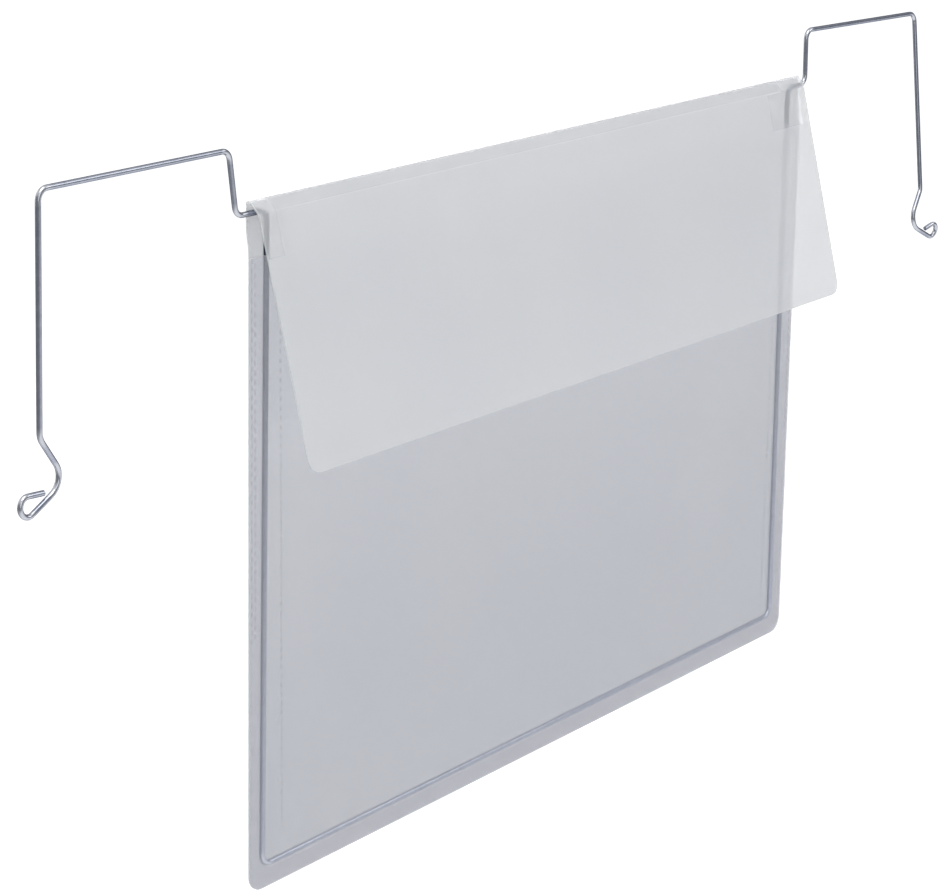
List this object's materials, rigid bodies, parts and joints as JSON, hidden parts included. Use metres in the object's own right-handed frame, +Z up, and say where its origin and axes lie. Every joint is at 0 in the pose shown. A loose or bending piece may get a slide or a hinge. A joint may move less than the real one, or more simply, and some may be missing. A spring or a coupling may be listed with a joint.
{
  "type": "hanging document pocket",
  "caption": "Landscape film pocket for documents on one bent wire bracket with spread hooks, and a creased rain flap over its open top.",
  "frame": {"origin": "on the hanging line, midway between the two hook arms at their underside, in the plane of the wire", "axes": "+X to the right seen from the front, +Y to the back, +Z up"},
  "size_m": [0.5252, 0.0247, 0.2487],
  "materials": {
    "zinc_wire": "bright zinc-plated steel wire",
    "pocket_film": "semi-clear film with a faint blue cast, satin",
    "flap_film": "hazy semi-clear film, matt"
  },
  "bodies": {
    "pocket": {"wire_bracket": "zinc_wire", "back_sheet": "flap_film", "left_channel": "pocket_film", "right_channel": "pocket_film", "bottom_channel": "pocket_film", "front_sheet": "pocket_film"},
    "flap": {"flap_fold": "flap_film", "rain_flap": "flap_film"}
  },
  "joints": [
    {"name": "flap_hinge", "type": "hinge", "parent": "pocket", "child": "flap", "pos_m": [0, -0.00115, -0.018], "axis": [-1, 0, 0], "range_deg": [-7.5, 166], "stiffness_Nm_per_rad": 0.01, "springref_deg": 7.45}
  ]
}
